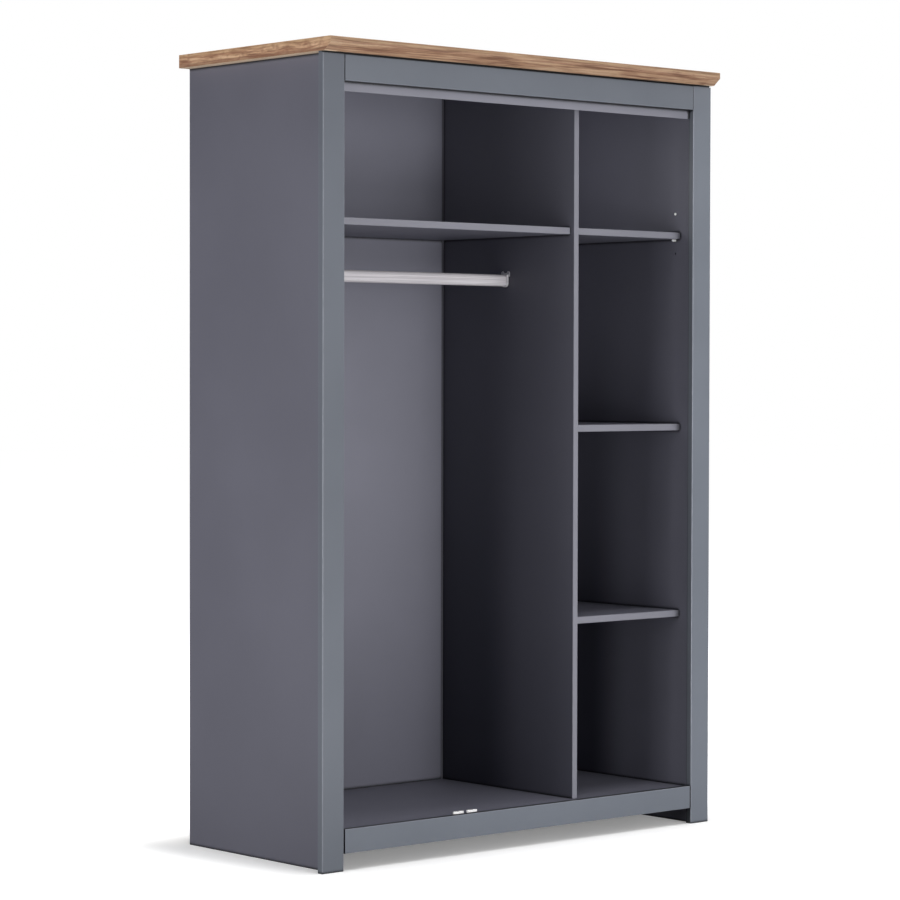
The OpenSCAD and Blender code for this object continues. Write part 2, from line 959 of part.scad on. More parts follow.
module plinth_block_screw_cut() {
    for (s = block_screw_at)
        translate(s[0]) rotate(s[1])
            countersunk_hole(screw, block_screw_l);
}

module plinth_block_screws() {
    color(c_steel) placed() for (s = block_screw_at)
        translate(s[0]) rotate(s[1])
            countersunk(screw, block_screw_l);
}

leg_screw_at = [
    for (dx = [-leg_screw_off, leg_screw_off])
        for (dy = [-leg_screw_off, leg_screw_off])
            [divider_mid + dx, leg_y + dy, floor_z0 - leg_plate[1]]
];

module leg_screw_cut() {
    for (p = leg_screw_at)
        translate(p) rotate([180, 0, 0])
            countersunk_hole(small_screw, leg_screw_l);
}

// Plastic support leg under the floor panel, below the divider
module centre_leg() {
    h = leg_plate[0] / 2;
    color(c_grey) placed() difference() {
        union() {
            block([divider_mid - h, divider_mid + h], [leg_y - h, leg_y + h],
                  [floor_z0 - leg_plate[1], floor_z0]);
            rod_z([divider_mid, leg_y, leg_tube_z], leg_tube_r,
                  floor_z0 - leg_tube_z - leg_plate[1] + joined);
        }
        rod_z([divider_mid, leg_y, leg_tube_z - over], leg_bore_r,
              foot_rod_top - leg_tube_z + 2 * over + over);
        leg_screw_cut();
    }
}

// Screwed foot of the support leg
module centre_leg_foot() {
    color(c_grey) placed() {
        rod_z([divider_mid, leg_y, 0], foot_r, foot_h);
        rod_z([divider_mid, leg_y, foot_h - joined], leg_bore_r - foot_gap,
              foot_rod_top - foot_h + joined);
    }
}

module centre_leg_screws() {
    color(c_steel) placed() for (p = leg_screw_at)
        translate(p) rotate([180, 0, 0])
            countersunk(small_screw, leg_screw_l);
}

module wall_hole_cut() {
    for (x = bracket_x)
        rod_y([x, back_y - bracket_t - over, bracket_hole_z], wall_hole_r,
              bracket_t + back_t + 2 * over + groove_slack);
}

bracket_screw_at = [
    for (x = bracket_x) for (i = [0, 1])
        [x + bracket_screw_at_x[i], bracket_screw_y[i], ceil_z - bracket_t]
];

module bracket_screw_cut() {
    for (p = bracket_screw_at)
        translate(p) rotate([180, 0, 0])
            countersunk_hole(small_screw, bracket_screw_l);
}

// Angle brackets that tie the wardrobe to the wall through its back
module wall_brackets() {
    color(c_steel) placed() difference() {
        for (x = bracket_x) {
            block([x - bracket_w / 2, x + bracket_w / 2],
                  [back_y - bracket_leg, back_y],
                  [ceil_z - bracket_t, ceil_z]);
            block([x - bracket_w / 2, x + bracket_w / 2],
                  [back_y - bracket_t, back_y],
                  [ceil_z - bracket_leg, ceil_z]);
        }
        wall_hole_cut();
        bracket_screw_cut();
    }
}

module wall_bracket_screws() {
    color(c_steel) placed() for (p = bracket_screw_at)
        translate(p) rotate([180, 0, 0])
            countersunk(small_screw, bracket_screw_l);
}

top_board();
stile_left();
stile_right();
fascia_rail();
plinth_rail();
side_panel_left();
side_panel_right();
ceiling_panel();
floor_panel();
divider_panel();
fascia_strip();
fascia_strip_screws();
hat_shelf();
shelf_upper();
shelf_middle();
shelf_lower();
back_panel_left();
back_panel_right();
back_joint_strip();
hanging_rail();
rail_socket_left();
rail_socket_right();
rail_socket_screws();
floor_guide_left();
floor_guide_right();
floor_guide_screws();
door_track();
door_track_screws();
shelf_pins();
hole_caps();
cam_locks();
cam_bolts();
dowels();
top_screws();
back_nails();
plinth_blocks();
plinth_block_screws();
centre_leg();
centre_leg_foot();
centre_leg_screws();
wall_brackets();
wall_bracket_screws();
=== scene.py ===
"""Looks for the sliding door wardrobe: materials, lights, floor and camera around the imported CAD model."""

import json
import math

import bpy
from mathutils import Matrix, Vector


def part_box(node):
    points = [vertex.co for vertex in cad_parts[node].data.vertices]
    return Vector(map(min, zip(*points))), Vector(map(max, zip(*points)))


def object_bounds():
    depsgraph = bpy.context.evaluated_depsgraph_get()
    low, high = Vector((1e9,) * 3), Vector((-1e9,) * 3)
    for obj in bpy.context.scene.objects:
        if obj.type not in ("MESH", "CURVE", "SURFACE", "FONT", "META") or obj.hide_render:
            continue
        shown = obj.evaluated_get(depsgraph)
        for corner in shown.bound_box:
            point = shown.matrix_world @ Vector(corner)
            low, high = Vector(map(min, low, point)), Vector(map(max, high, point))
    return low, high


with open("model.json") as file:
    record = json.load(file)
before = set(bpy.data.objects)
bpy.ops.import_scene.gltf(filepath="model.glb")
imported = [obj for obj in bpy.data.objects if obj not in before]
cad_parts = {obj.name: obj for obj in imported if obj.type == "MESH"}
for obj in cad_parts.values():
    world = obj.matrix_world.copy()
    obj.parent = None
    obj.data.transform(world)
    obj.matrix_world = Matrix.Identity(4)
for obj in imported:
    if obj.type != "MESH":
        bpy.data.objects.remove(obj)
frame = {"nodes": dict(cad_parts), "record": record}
cad_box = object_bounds()

# ---------------------------------------------------------------- places on the wardrobe

BOARD_TOP = cad_box[1].z
# Rear faces of the fascia, plinth and stiles
FRAME_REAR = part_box("plinth_rail")[1].y
PLINTH_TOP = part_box("plinth_rail")[1].z
# Distance of the side panels' outer faces from the middle
SIDE_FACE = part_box("side_panel_right")[1].x

FRONT = (0.0, -1.0, 0.0)
REAR = (0.0, 1.0, 0.0)
BELOW = (0.0, 0.0, -1.0)
ABOVE = (0.0, 0.0, 1.0)
LEFTWARD = (-1.0, 0.0, 0.0)
RIGHTWARD = (1.0, 0.0, 0.0)

# ---------------------------------------------------------------- colours


def srgb(red, green, blue):
    """A colour given as 0 to 255 display values, in the linear values that a shader takes."""

    def linear(value):
        share = value / 255
        return share / 12.92 if share <= 0.04045 else ((share + 0.055) / 1.055) ** 2.4

    return (linear(red), linear(green), linear(blue), 1.0)


def toned(colour, share):
    """A colour made lighter or darker by a share."""
    return tuple(min(1.0, share * part) for part in colour[:3]) + (1.0,)


BLACK = (0.0, 0.0, 0.0, 1.0)
FRONT_BODY = srgb(105, 110, 119)
# Paler colour of the rounded front edges: partly wear, partly a painted highlight
FRONT_WEAR_SHEEN = srgb(136, 139, 149)
CARCASS_BODY = srgb(103, 103, 115)
# Paler colour of the rounded carcass edges: partly wear, partly a painted highlight
CARCASS_WEAR_SHEEN = srgb(124, 124, 136)
CARCASS_BAND = srgb(134, 134, 144)
# What the foil inside the wardrobe darkens towards, low down
DEEP_SHADE = srgb(14, 16, 35)

# ---------------------------------------------------------------- painted shade

# Reach of the painted shade in a joint or crease, and the share of its colour that a surface keeps there
JOINT_SHADE_REACH = 0.009
JOINT_SHADE_SHARE = 0.06
# Heights between which a board's colour changes towards the floor
SHADE_FOOT = 0.05
SHADE_TOP = 0.9
# Depths and heights between which the rear half of a bay darkens
DEEP_FRONT = -0.02
DEEP_REAR = 0.12
DEEP_FOOT = 0.2
DEEP_TOP = 1.6

# ---------------------------------------------------------------- shader helpers


class Shader:
    """A material with one Principled BSDF, and short calls that add nodes to it."""

    def __init__(self, name):
        self.material = bpy.data.materials.new(name)
        self.material.use_nodes = True
        self.tree = self.material.node_tree
        self.surface = self.tree.nodes["Principled BSDF"]
        coordinates = self.add("ShaderNodeTexCoord")
        self.place = coordinates.outputs["Object"]
        self.normal = coordinates.outputs["Normal"]

    def add(self, kind, inputs=None, **settings):
        """A new node; inputs are sockets or constants, by the socket's name or number."""
        node = self.tree.nodes.new(kind)
        for name, value in settings.items():
            setattr(node, name, value)
        for name, value in (inputs or {}).items():
            self.feed(node.inputs[name], value)
        return node

    def feed(self, socket, value):
        """Links the value to the socket, or sets it there if it is a constant."""
        if isinstance(value, bpy.types.NodeSocket):
            self.tree.links.new(value, socket)
        else:
            socket.default_value = value

    def set(self, **inputs):
        """Sets the Principled BSDF's own sockets; an underscore stands for a space in a name."""
        for name, value in inputs.items():
            self.feed(self.surface.inputs[name.replace("_", " ")], value)

    def scaled(self, stretch, start=None):
        """Coordinates multiplied by stretch, one number for each axis."""
        inputs = {0: start or self.place, 1: stretch}
        return self.add("ShaderNodeVectorMath", inputs, operation="MULTIPLY").outputs[0]

    def noise(self, stretch, detail=3.0, roughness=0.55, start=None):
        """Noise with about stretch features a metre along each axis."""
        inputs = {
            "Vector": self.scaled(stretch, start),
            "Scale": 1.0,
            "Detail": detail,
            "Roughness": roughness,
        }
        return self.add("ShaderNodeTexNoise", inputs).outputs["Fac"]

    def ramp(self, value, low, high, to_low=0.0, to_high=1.0):
        """A smooth step of value from low to high."""
        inputs = {"Value": value, "From Min": low, "From Max": high, "To Min": to_low, "To Max": to_high}
        return self.add("ShaderNodeMapRange", inputs, interpolation_type="SMOOTHSTEP").outputs[0]

    def maths(self, operation, first, second=0.0):
        """The result of one operation on two values, or on the first alone."""
        return self.add("ShaderNodeMath", {0: first, 1: second}, operation=operation).outputs[0]

    def blend(self, share, first, second):
        """Colour first where share is 0, and second where it is 1."""
        node = self.add("ShaderNodeMix", data_type="RGBA")
        self.feed(node.inputs["Factor"], share)
        self.feed(node.inputs[6], first)
        self.feed(node.inputs[7], second)
        return node.outputs[2]

    def blend_value(self, share, first, second):
        """Value first where share is 0, and second where it is 1."""
        return self.add("ShaderNodeMix", {"Factor": share, 2: first, 3: second}).outputs[0]

    def axis(self, vector, name):
        """One component of a vector, by its name or number."""
        return self.add("ShaderNodeSeparateXYZ", {0: vector}).outputs[name]

    def facing(self, direction, low=0.75, high=0.95):
        """1 where the surface faces along direction, and 0 elsewhere."""
        inputs = {0: self.normal, 1: direction}
        share = self.add("ShaderNodeVectorMath", inputs, operation="DOT_PRODUCT").outputs["Value"]
        return self.ramp(share, low, high)

    def edges(self, radius):
        """1 along the piece's own sharp edges, and 0 away from them."""
        rounded = self.add("ShaderNodeBevel", {"Radius": radius}, samples=6).outputs[0]
        flat = self.add("ShaderNodeNewGeometry").outputs["Normal"]
        likeness = self.add("ShaderNodeVectorMath", {0: rounded, 1: flat}, operation="DOT_PRODUCT")
        return self.ramp(likeness.outputs["Value"], 0.995, 0.80)

    def turned(self):
        """1 where the surface turns from one face of the board to the next, and 0 on the faces."""
        sizes = self.add("ShaderNodeVectorMath", {0: self.normal}, operation="ABSOLUTE").outputs[0]
        along_y_or_z = self.maths("MAXIMUM", self.axis(sizes, "Y"), self.axis(sizes, "Z"))
        return self.ramp(self.maths("MAXIMUM", self.axis(sizes, "X"), along_y_or_z), 0.998, 0.93)

    def shaded_in_joints(self, colour):
        """The colour, with painted shade in the joints and creases between pieces."""
        open_share = self.add("ShaderNodeAmbientOcclusion", {"Distance": JOINT_SHADE_REACH}, samples=8).outputs["AO"]
        return self.darkened(colour, self.ramp(open_share, 0.55, 0.95, JOINT_SHADE_SHARE, 1.0))

    def shaded_low(self, colour, at_floor, above, top):
        """The colour mixed with DEEP_SHADE: it keeps the share above over the height top, which
        changes to the share at_floor near the floor."""
        share = self.ramp(self.axis(self.place, "Z"), SHADE_FOOT, top, at_floor, above)
        return self.blend(share, DEEP_SHADE, colour)

    def shaded_deep(self, colour, share):
        """The colour mixed with DEEP_SHADE: it keeps the share low down in the rear half of the
        wardrobe, and all of itself elsewhere."""
        rear = self.ramp(self.axis(self.place, "Y"), DEEP_FRONT, DEEP_REAR)
        low = self.ramp(self.axis(self.place, "Z"), DEEP_FOOT, DEEP_TOP, 1.0, 0.0)
        kept = self.blend_value(self.maths("MULTIPLY", rear, low), 1.0, share)
        return self.blend(kept, DEEP_SHADE, colour)

    def shaded_face(self, colour, direction, share):
        """The colour, darkened to a share of itself on the faces along direction; darker still at
        the frame's rear edge and below the plinth's upper edge."""
        at_rear = self.ramp(self.axis(self.place, "Y"), FRAME_REAR - 0.004, FRAME_REAR, 1.0, 0.5)
        heights = (PLINTH_TOP - 0.0065, PLINTH_TOP + 0.0005)
        at_foot = self.ramp(self.axis(self.place, "Z"), heights[0], heights[1], 0.35, 1.0)
        kept = self.maths("MULTIPLY", self.maths("MULTIPLY", at_rear, at_foot), share)
        return self.darkened(colour, self.blend_value(self.facing(direction), 1.0, kept))

    def darkened(self, colour, share):
        """The colour times share."""
        return self.blend(share, BLACK, colour)

    def bump(self, height, depth):
        """The surface's normal with height pressed into it, depth metres deep."""
        inputs = {"Height": height, "Distance": depth, "Strength": 1.0}
        return self.add("ShaderNodeBump", inputs).outputs[0]


# ---------------------------------------------------------------- materials


def chipboard(shader):
    """The colour and height of a sawn chipboard edge."""
    chips = shader.add(
        "ShaderNodeTexVoronoi", {"Vector": shader.scaled((260.0, 420.0, 420.0)), "Scale": 1.0}
    )
    tone = shader.axis(chips.outputs["Color"], 0)
    fine = shader.noise((1400.0, 1400.0, 1400.0))
    colour = shader.blend(tone, srgb(150, 116, 76), srgb(201, 170, 124))
    colour = shader.blend(shader.ramp(fine, 0.35, 0.75), colour, srgb(222, 196, 152))
    return colour, shader.maths("ADD", tone, fine)


def foil_colour(shader, body, clouds, specks, low_shade, deep_shade):
    """The foil's colour with its clouds and specks, and painted shade towards the floor and low at the rear.
    """
    brightest = max(1.0, low_shade)
    body = toned(body, brightest)
    cloud_tone = shader.ramp(clouds, 0.3, 0.7, 0.0, 0.7)
    speck_tone = shader.ramp(specks, 0.3, 0.7, 0.0, 0.3)
    tone = shader.maths("ADD", cloud_tone, speck_tone)
    colour = shader.blend(tone, toned(body, 0.93), toned(body, 1.07))
    if low_shade != 1.0:
        colour = shader.shaded_low(colour, low_shade / brightest, 1.0 / brightest, SHADE_TOP)
    if deep_shade < 1.0:
        colour = shader.shaded_deep(colour, deep_shade)
    return colour


def foil(
    name, body, wear_sheen_colour, roughness, banded=None, sawn_face=None, low_shade=1.0, deep_shade=1.0, slot=None
):
    """Matt melamine foil: faint clouds and specks, a fine pebbled surface, edges a little paler, partly
    from wear and partly as a painted highlight, and painted shade in its joints. banded is the colour
    of the edge band on the faces towards the front, where there is one, and sawn_face is a direction
    in which the board's sawn edge shows instead. Towards the floor the foil keeps the low_shade share
    of its colour, and low at the rear the deep_shade share, as painted shade, or as painted light
    where low_shade is above 1. slot is the direction of a face that looks into a narrow opening, and
    the share of its colour it keeps there as painted shade."""
    shader = Shader(name)
    clouds = shader.noise((2.2, 2.2, 2.2), detail=4.0)
    specks = shader.noise((620.0, 620.0, 620.0), detail=2.0)
    colour = foil_colour(shader, body, clouds, specks, low_shade, deep_shade)
    if banded:
        colour = shader.blend(shader.facing(FRONT), colour, banded)
    # Paler edges: partly wear, partly a painted highlight on the rounded edges
    wear_sheen_patches = shader.noise((35.0, 35.0, 35.0), detail=5.0, roughness=0.7)
    edge = shader.maths("MAXIMUM", shader.edges(0.0015), shader.turned())
    wear_and_sheen = shader.maths("MULTIPLY", edge, shader.ramp(wear_sheen_patches, 0.25, 0.7, 0.5, 1.0))
    colour = shader.blend(wear_and_sheen, colour, wear_sheen_colour)
    # Painted shade in joints, kept off the banded front faces
    joint_shaded = shader.shaded_in_joints(colour)
    colour = shader.blend(shader.facing(FRONT, 0.2, 0.5), joint_shaded, colour) if banded else joint_shaded
    # Painted shade on a face that looks into a narrow opening
    if slot:
        colour = shader.shaded_face(colour, slot[0], slot[1])
    height = specks
    rough = shader.ramp(clouds, 0.2, 0.8, roughness - 0.05, roughness + 0.05)
    if sawn_face:
        sawn = shader.facing(sawn_face)
        sawn_colour, sawn_height = chipboard(shader)
        colour = shader.blend(sawn, colour, sawn_colour)
        height = shader.blend_value(sawn, height, shader.maths("MULTIPLY", sawn_height, 2.0))
        rough = shader.blend_value(sawn, rough, 0.85)
    shader.set(
        Base_Color=colour,
        Roughness=rough,
        Normal=shader.bump(height, 0.00006),
        Specular_IOR_Level=0.45,
    )
    return shader.material


def front_foil(name, tone, slot=None, low_shade=1.0):
    """The bluer foil of the front frame."""
    body = toned(FRONT_BODY, tone)
    wear_sheen_colour = toned(FRONT_WEAR_SHEEN, tone)
    return foil(name, body, wear_sheen_colour, 0.42, low_shade=low_shade, slot=slot)


def carcass_foil(name, tone, low_shade=1.0, deep_shade=1.0):
    """The foil of the carcass, with a paler band on the front edges and a sawn rear edge."""
    body = toned(CARCASS_BODY, tone)
    return foil(name, body, CARCASS_WEAR_SHEEN, 0.5, CARCASS_BAND, REAR, low_shade, deep_shade)


def oak_grain(shader, on_end):
    """Coordinates with X along the grain on each side of the board, a little bent."""
    x = shader.axis(shader.place, "X")
    y = shader.axis(shader.place, "Y")
    z = shader.axis(shader.place, "Z")
    along = shader.blend_value(on_end, x, shader.maths("MULTIPLY", y, 2.2))
    depth = shader.blend_value(on_end, y, x)
    grain = shader.add("ShaderNodeCombineXYZ", {0: along, 1: depth, 2: z}).outputs[0]
    drift = shader.noise((3.0, 9.0, 9.0), detail=2.0, start=grain)
    height = shader.maths("ADD", z, shader.maths("MULTIPLY", drift, 0.02))
    return shader.add("ShaderNodeCombineXYZ", {0: along, 1: depth, 2: height}).outputs[0]


def oak_print(shader, grain, streaks, pores, on_end):
    """The printed wood: broad bands, dark and pale streaks, blotches and pores."""
    bands = shader.noise((1.4, 45.0, 90.0), detail=2.0, roughness=0.5, start=grain)
    blotches = shader.noise((16.0, 40.0, 60.0), detail=3.0, start=grain)
    colour = shader.blend(shader.ramp(bands, 0.35, 0.65), srgb(182, 138, 109), srgb(206, 167, 134))
    colour = shader.blend(shader.ramp(streaks, 0.50, 0.64, 0.0, 0.85), colour, srgb(132, 93, 71))
    colour = shader.blend(shader.ramp(streaks, 0.50, 0.36, 0.0, 0.75), colour, srgb(230, 195, 161))
    blotch_share = shader.blend_value(on_end, 0.25, 0.6)
    blotch = shader.maths("MULTIPLY", shader.ramp(blotches, 0.48, 0.66), blotch_share)
    colour = shader.blend(blotch, colour, srgb(148, 103, 82))
    return shader.blend(shader.ramp(pores, 0.62, 0.72, 0.0, 0.5), colour, srgb(98, 66, 48))


def oak_sides(shader, colour, on_end):
    """The colour with a yellower painted highlight along the top edge, painted shade low on the ends
    and a little low on the front, painted shade over the whole front, deepest near its top, a
    painted light on the underside past the side panels, and paler edges at the ends, partly rubbed
    and partly a painted highlight."""
    z = shader.axis(shader.place, "Z")
    # Painted highlight: a yellower line along the top edge
    high = shader.ramp(z, BOARD_TOP - 0.012, BOARD_TOP - 0.004, 0.0, 0.3)
    colour = shader.blend(high, colour, srgb(186, 154, 112))
    # Painted shade low on the ends, and a little low on the front
    low = shader.ramp(z, BOARD_TOP - 0.019, BOARD_TOP - 0.025)
    low = shader.maths("MULTIPLY", low, shader.blend_value(on_end, 0.12, 0.6))
    colour = shader.blend(low, colour, srgb(130, 92, 72))
    # Painted shade on the front, deepest near its top
    front_shade = shader.ramp(z, BOARD_TOP - 0.016, BOARD_TOP - 0.012, 0.83, 0.70)
    colour = shader.darkened(colour, shader.blend_value(on_end, front_shade, 1.0))
    # Painted light on the underside past the side panels
    from_middle = shader.maths("ABSOLUTE", shader.axis(shader.place, "X"))
    past_side = shader.ramp(from_middle, SIDE_FACE - 0.007, SIDE_FACE)
    lit_underside = shader.maths("MULTIPLY", shader.facing(BELOW), past_side)
    colour = shader.blend(lit_underside, colour, srgb(250, 224, 194))
    # Paler edges at the ends: partly rubbed, partly a painted highlight
    rub_and_highlight = shader.maths("MULTIPLY", shader.edges(0.002), shader.blend_value(on_end, 0.0, 0.9))
    return shader.blend(rub_and_highlight, colour, srgb(226, 196, 164))


def oak():
    """Oak-effect foil on the top board."""
    shader = Shader("oak_board")
    across_end = shader.maths("ABSOLUTE", shader.axis(shader.normal, "X"))
    on_end = shader.ramp(across_end, 0.6, 0.8)
    grain = oak_grain(shader, on_end)
    streaks = shader.noise((7.0, 130.0, 210.0), detail=3.0, roughness=0.6, start=grain)
    pores = shader.noise((70.0, 1500.0, 1500.0), detail=2.0, start=grain)
    colour = oak_print(shader, grain, streaks, pores, on_end)
    raised = shader.maths("MULTIPLY", streaks, 0.6)
    sunk = shader.ramp(pores, 0.6, 0.72, 0.0, 0.7)
    # Painted shade in the joints
    shader.set(
        Base_Color=shader.shaded_in_joints(oak_sides(shader, colour, on_end)),
        Roughness=shader.ramp(streaks, 0.3, 0.7, 0.42, 0.58),
        Normal=shader.bump(shader.maths("SUBTRACT", raised, sunk), 0.00012),
        Specular_IOR_Level=0.4,
    )
    return shader.material


def back_board(name, tone, low_shade, shade_top):
    """Thin fibreboard: grey printed foil on the inner face, with painted shade towards the floor and in
    joints, and bare brown fibres on the rear."""
    shader = Shader(name)
    clouds = shader.noise((2.0, 2.0, 2.0), detail=4.0)
    specks = shader.noise((700.0, 700.0, 700.0), detail=2.0)
    pale = toned(srgb(133, 133, 146), tone)
    deep = toned(srgb(126, 126, 138), tone)
    front = shader.blend(shader.ramp(clouds, 0.3, 0.7), deep, pale)
    front = shader.shaded_in_joints(shader.shaded_low(front, low_shade, 1.0, shade_top))
    fibres = shader.noise((260.0, 260.0, 60.0), detail=6.0, roughness=0.75)
    patches = shader.noise((6.0, 6.0, 6.0), detail=3.0)
    rear = shader.blend(shader.ramp(fibres, 0.3, 0.7), srgb(112, 80, 54), srgb(150, 116, 84))
    rear = shader.blend(shader.ramp(patches, 0.45, 0.75, 0.0, 0.4), rear, srgb(96, 70, 50))
    on_rear = shader.facing(REAR)
    shader.set(
        Base_Color=shader.blend(on_rear, front, rear),
        Roughness=shader.blend_value(on_rear, 0.55, 0.85),
        Normal=shader.bump(shader.blend_value(on_rear, specks, fibres), 0.00008),
        Specular_IOR_Level=0.4,
    )
    return shader.material


def metal(name, tone, roughness, brush):
    """Satin metal with brushing, with painted shade in joints; brush gives its lines a metre along each
    axis.
    """
    shader = Shader(name)
    lines = shader.noise(brush, detail=4.0, roughness=0.6)
    stains = shader.noise((45.0, 45.0, 45.0), detail=4.0)
    shader.set(
        Base_Color=shader.shaded_in_joints(shader.blend(shader.ramp(lines, 0.3, 0.7), toned(tone, 0.86), tone)),
        Metallic=1.0,
        Roughness=shader.ramp(stains, 0.3, 0.7, roughness - 0.06, roughness + 0.08),
        Normal=shader.bump(lines, 0.00004),
    )
    return shader.material


def painted_tube():
    """Tube in pale satin lacquer, with the faint lines of its drawing along it."""
    shader = Shader("rail_metal")
    lines = shader.noise((3.0, 420.0, 420.0), detail=2.0)
    marks = shader.noise((30.0, 90.0, 90.0), detail=4.0)
    colour = shader.blend(shader.ramp(lines, 0.35, 0.65), srgb(208, 203, 208), srgb(235, 231, 235))
    colour = shader.blend(shader.ramp(marks, 0.6, 0.8, 0.0, 0.25), colour, srgb(178, 172, 176))
    shader.set(
        Base_Color=colour,
        Metallic=0.1,
        Roughness=shader.ramp(marks, 0.3, 0.7, 0.42, 0.56),
        Normal=shader.bump(lines, 0.0002),
    )
    return shader.material


def plastic(name, tone, roughness, glow=0.0):
    """Moulded plastic: a fine spark-eroded grain and slightly scuffed edges; glow is an emission that
    lights up a white part as painted light, though it is no lamp."""
    shader = Shader(name)
    pits = shader.noise((900.0, 900.0, 900.0), detail=2.0)
    tint = shader.noise((60.0, 60.0, 60.0), detail=3.0)
    scuffed = tuple(min(1.0, 0.75 * part + 0.22) for part in tone[:3]) + (1.0,)
    colour = shader.blend(shader.ramp(tint, 0.3, 0.7), toned(tone, 0.94), tone)
    colour = shader.blend(shader.maths("MULTIPLY", shader.edges(0.0006), 0.35), colour, scuffed)
    shader.set(
        Base_Color=colour,
        Roughness=shader.ramp(pits, 0.3, 0.7, roughness - 0.05, roughness + 0.05),
        Normal=shader.bump(pits, 0.00005),
        Emission_Color=tone,
        Emission_Strength=glow,
    )
    return shader.material


def beech():
    """Unfinished beech: pale, with short darker flecks along the grain, and painted shade in joints."""
    shader = Shader("beech")
    grain = shader.noise((60.0, 60.0, 420.0), detail=4.0)
    flecks = shader.noise((180.0, 180.0, 900.0), detail=2.0)
    colour = shader.blend(shader.ramp(grain, 0.3, 0.7), srgb(186, 146, 102), srgb(220, 186, 142))
    colour = shader.blend(shader.ramp(flecks, 0.62, 0.72, 0.0, 0.6), colour, srgb(140, 96, 62))
    shader.set(
        Base_Color=shader.shaded_in_joints(colour),
        Roughness=shader.ramp(grain, 0.3, 0.7, 0.6, 0.75),
        Normal=shader.bump(grain, 0.0001),
    )
    return shader.material


# Materials by the record's slots
MATERIALS = {
    "oak_board": oak(),
    "front_foil": front_foil("front_foil", 1.03),
    "carcass_foil": carcass_foil("carcass_foil", 1.0),
    "edge_foil": foil("edge_foil", srgb(141, 141, 152), srgb(156, 156, 168), 0.45),
    "back_board": back_board("back_board", 1.04, 0.55, 0.9),
    "rail_metal": painted_tube(),
    "zinc_metal": metal("zinc_metal", srgb(200, 201, 204), 0.32, (400.0, 400.0, 400.0)),
    "track_metal": metal("track_metal", srgb(190, 190, 192), 0.36, (14.0, 1200.0, 1200.0)),
    # The white plastic glows a little as painted light, though it is no lamp
    "white_plastic": plastic("white_plastic", srgb(251, 251, 250), 0.3, glow=0.2),
    "grey_plastic": plastic("grey_plastic", srgb(82, 82, 90), 0.5),
    "beech": beech(),
}
# Pieces toned lighter or darker than the rest of their slot as painted light and shade, some also with
# painted shade on faces into an opening, towards the floor and at the rear
# The sockets are metal: their pale plastic finish is a painted sheen that stands in for their bright
# reflections
SOCKET = plastic("socket_painted_sheen", srgb(222, 220, 224), 0.3)
ODD_PIECES = {
    "rail_socket_left": SOCKET,
    "rail_socket_right": SOCKET,
    "stile_left": front_foil("foil_stile_left", 0.94, (RIGHTWARD, 0.75), 1.16),
    "stile_right": front_foil("foil_stile_right", 1.28, (LEFTWARD, 0.7)),
    "fascia_rail": front_foil("foil_fascia", 1.13, (BELOW, 0.2)),
    "plinth_rail": front_foil("foil_plinth", 1.22, (ABOVE, 0.12)),
    "side_panel_right": carcass_foil("foil_side_right", 1.18, deep_shade=0.08),
    "divider_panel": carcass_foil("foil_divider", 0.81, 0.68, 0.3),
    "back_panel_right": back_board("back_board_right", 0.95, 0.6, 0.9),
}
for part in frame["record"]["subparts"]:
    mesh = frame["nodes"][part["node"]].data
    mesh.materials.clear()
    mesh.materials.append(ODD_PIECES.get(part["node"], MATERIALS[part["material_slot"]]))

# ---------------------------------------------------------------- floor, world and lights

FLOOR_WIDTH = 60.0
# What the camera sees added to the lit floor: this glow at the wardrobe's footprint, which grows to
# full white over the fade's distance
FLOOR_GLOW = 0.2
FLOOR_FADE = 0.25
# Share of light that the floor throws back
FLOOR_BOUNCE = 0.25
# Height of the point that the lights round the wardrobe face
AIM_HEIGHT = 0.9
# Height of the lights on the floor, and the rise over a shelf and the size of the lights in the bays
FLOOR_LIGHT_HEIGHT = 0.03
BAY_LIGHT_RISE = 0.14
BAY_LIGHT_SIZE = 0.2
# Softboxes round the wardrobe: degrees to the right of the front, height, distance, size and watts
STUDIO_LIGHTS = {
    "key": (5.0, 1.8, 5.0, 3.6, 50.0),
    "key_core": (5.0, 1.2, 5.0, 1.2, 32.0),
    "front": (0.0, 1.6, 5.5, 3.0, 18.0),
    "front_high": (0.0, 4.2, 3.2, 2.6, 26.0),
    "front_low": (0.0, 0.4, 3.0, 0.7, 22.0),
    "right": (80.0, 2.5, 4.6, 2.0, 93.0),
    "left": (-95.0, 1.0, 4.0, 2.4, 57.0),
    "left_front": (-78.0, 1.0, 4.0, 1.6, 39.0),
    "top": (0.0, 6.0, 0.4, 3.0, 209.0),
    "rear": (180.0, 1.8, 5.0, 1.0, 40.0),
}


